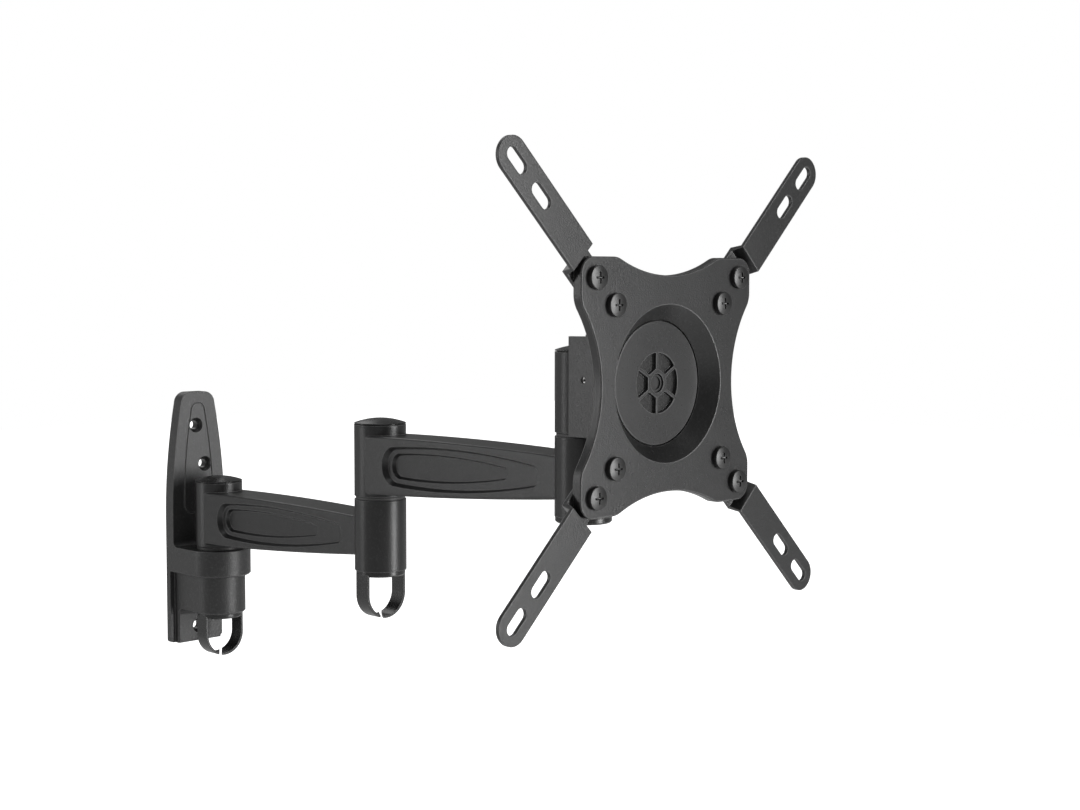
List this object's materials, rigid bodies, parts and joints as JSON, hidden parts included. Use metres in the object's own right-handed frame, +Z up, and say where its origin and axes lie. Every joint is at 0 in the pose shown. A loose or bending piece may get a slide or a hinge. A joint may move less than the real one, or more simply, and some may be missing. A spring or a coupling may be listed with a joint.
{
  "type": "full motion television wall mount",
  "caption": "Black articulating wall mount: tall wall plate, jointed arms on stacked knuckles, tilting and turning plate with slotted extension arms for a flat screen.",
  "frame": {"origin": "centre of the wall plate's back face", "axes": "+Z up, +Y into the wall, +X to the right as seen from the room; the screen faces -Y"},
  "size_m": [0.2216, 0.4061, 0.2969],
  "materials": {
    "coated_casting": "fine textured black powder coat over cast aluminium",
    "coated_strip": "smooth satin black powder coat over pressed steel",
    "moulded_plastic": "satin black moulded plastic",
    "black_screw": "blackened steel",
    "pivot_steel": "zinc plated steel",
    "nylon": "dark nylon"
  },
  "bodies": {
    "wall": {"wall_bracket": "coated_casting", "wall_pivot_bolt": "pivot_steel", "wall_bolt_washer": "pivot_steel", "wall_friction_washer": "nylon", "wall_spring_washer": "pivot_steel", "wall_nut": "pivot_steel", "wall_cable_clip": "moulded_plastic"},
    "first_arm": {"first_arm": "coated_casting", "wall_bushes": "nylon", "wall_dome_cap": "moulded_plastic", "elbow_pivot_bolt": "pivot_steel", "elbow_bolt_washer": "pivot_steel", "elbow_friction_washer": "nylon", "elbow_spring_washer": "pivot_steel", "elbow_nut": "pivot_steel", "elbow_cable_clip": "moulded_plastic"},
    "second_arm": {"second_arm": "coated_casting", "elbow_bushes": "nylon", "elbow_dome_cap": "moulded_plastic", "head_pivot_bolt": "pivot_steel", "head_bolt_washer": "pivot_steel", "head_friction_washer": "nylon", "head_spring_washer": "pivot_steel", "head_nut": "pivot_steel", "head_foot_cap": "moulded_plastic"},
    "head": {"swivel_head": "coated_casting", "head_bushes": "nylon", "head_dome_cap": "moulded_plastic", "head_grub_screw": "pivot_steel", "tilt_bolt": "black_screw", "tilt_nut": "black_screw"},
    "tilt": {"tilt_tongue": "coated_casting", "turn_washer": "nylon", "clamp_disc": "coated_casting", "hub_screw": "black_screw"},
    "screen": {"screen_plate": "coated_casting", "extension_arm_upper_left": "coated_strip", "extension_arm_upper_right": "coated_strip", "extension_arm_lower_left": "coated_strip", "extension_arm_lower_right": "coated_strip", "arm_screws": "black_screw", "arm_nuts": "black_screw"}
  },
  "joints": [
    {"name": "wall_swivel", "type": "hinge", "parent": "wall", "child": "first_arm", "pos_m": [0, -0.0301, 0], "axis": [0, 0, 1], "range_deg": [-90, 90]},
    {"name": "elbow_swivel", "type": "hinge", "parent": "first_arm", "child": "second_arm", "pos_m": [0, -0.1886, 0.0288], "axis": [0, 0, -1], "range_deg": [-165, 165]},
    {"name": "head_swivel", "type": "hinge", "parent": "second_arm", "child": "head", "pos_m": [0, -0.3471, 0.0742], "axis": [0, 0, 1], "range_deg": [-90, 90]},
    {"name": "screen_tilt", "type": "hinge", "parent": "head", "child": "tilt", "pos_m": [0, -0.3761, 0.1015], "axis": [1, 0, 0], "range_deg": [-15, 15]},
    {"name": "screen_turn", "type": "hinge", "parent": "tilt", "child": "screen", "pos_m": [0, -0.4031, 0.1015], "axis": [0, -1, 0], "range_deg": [-90, 90]}
  ]
}
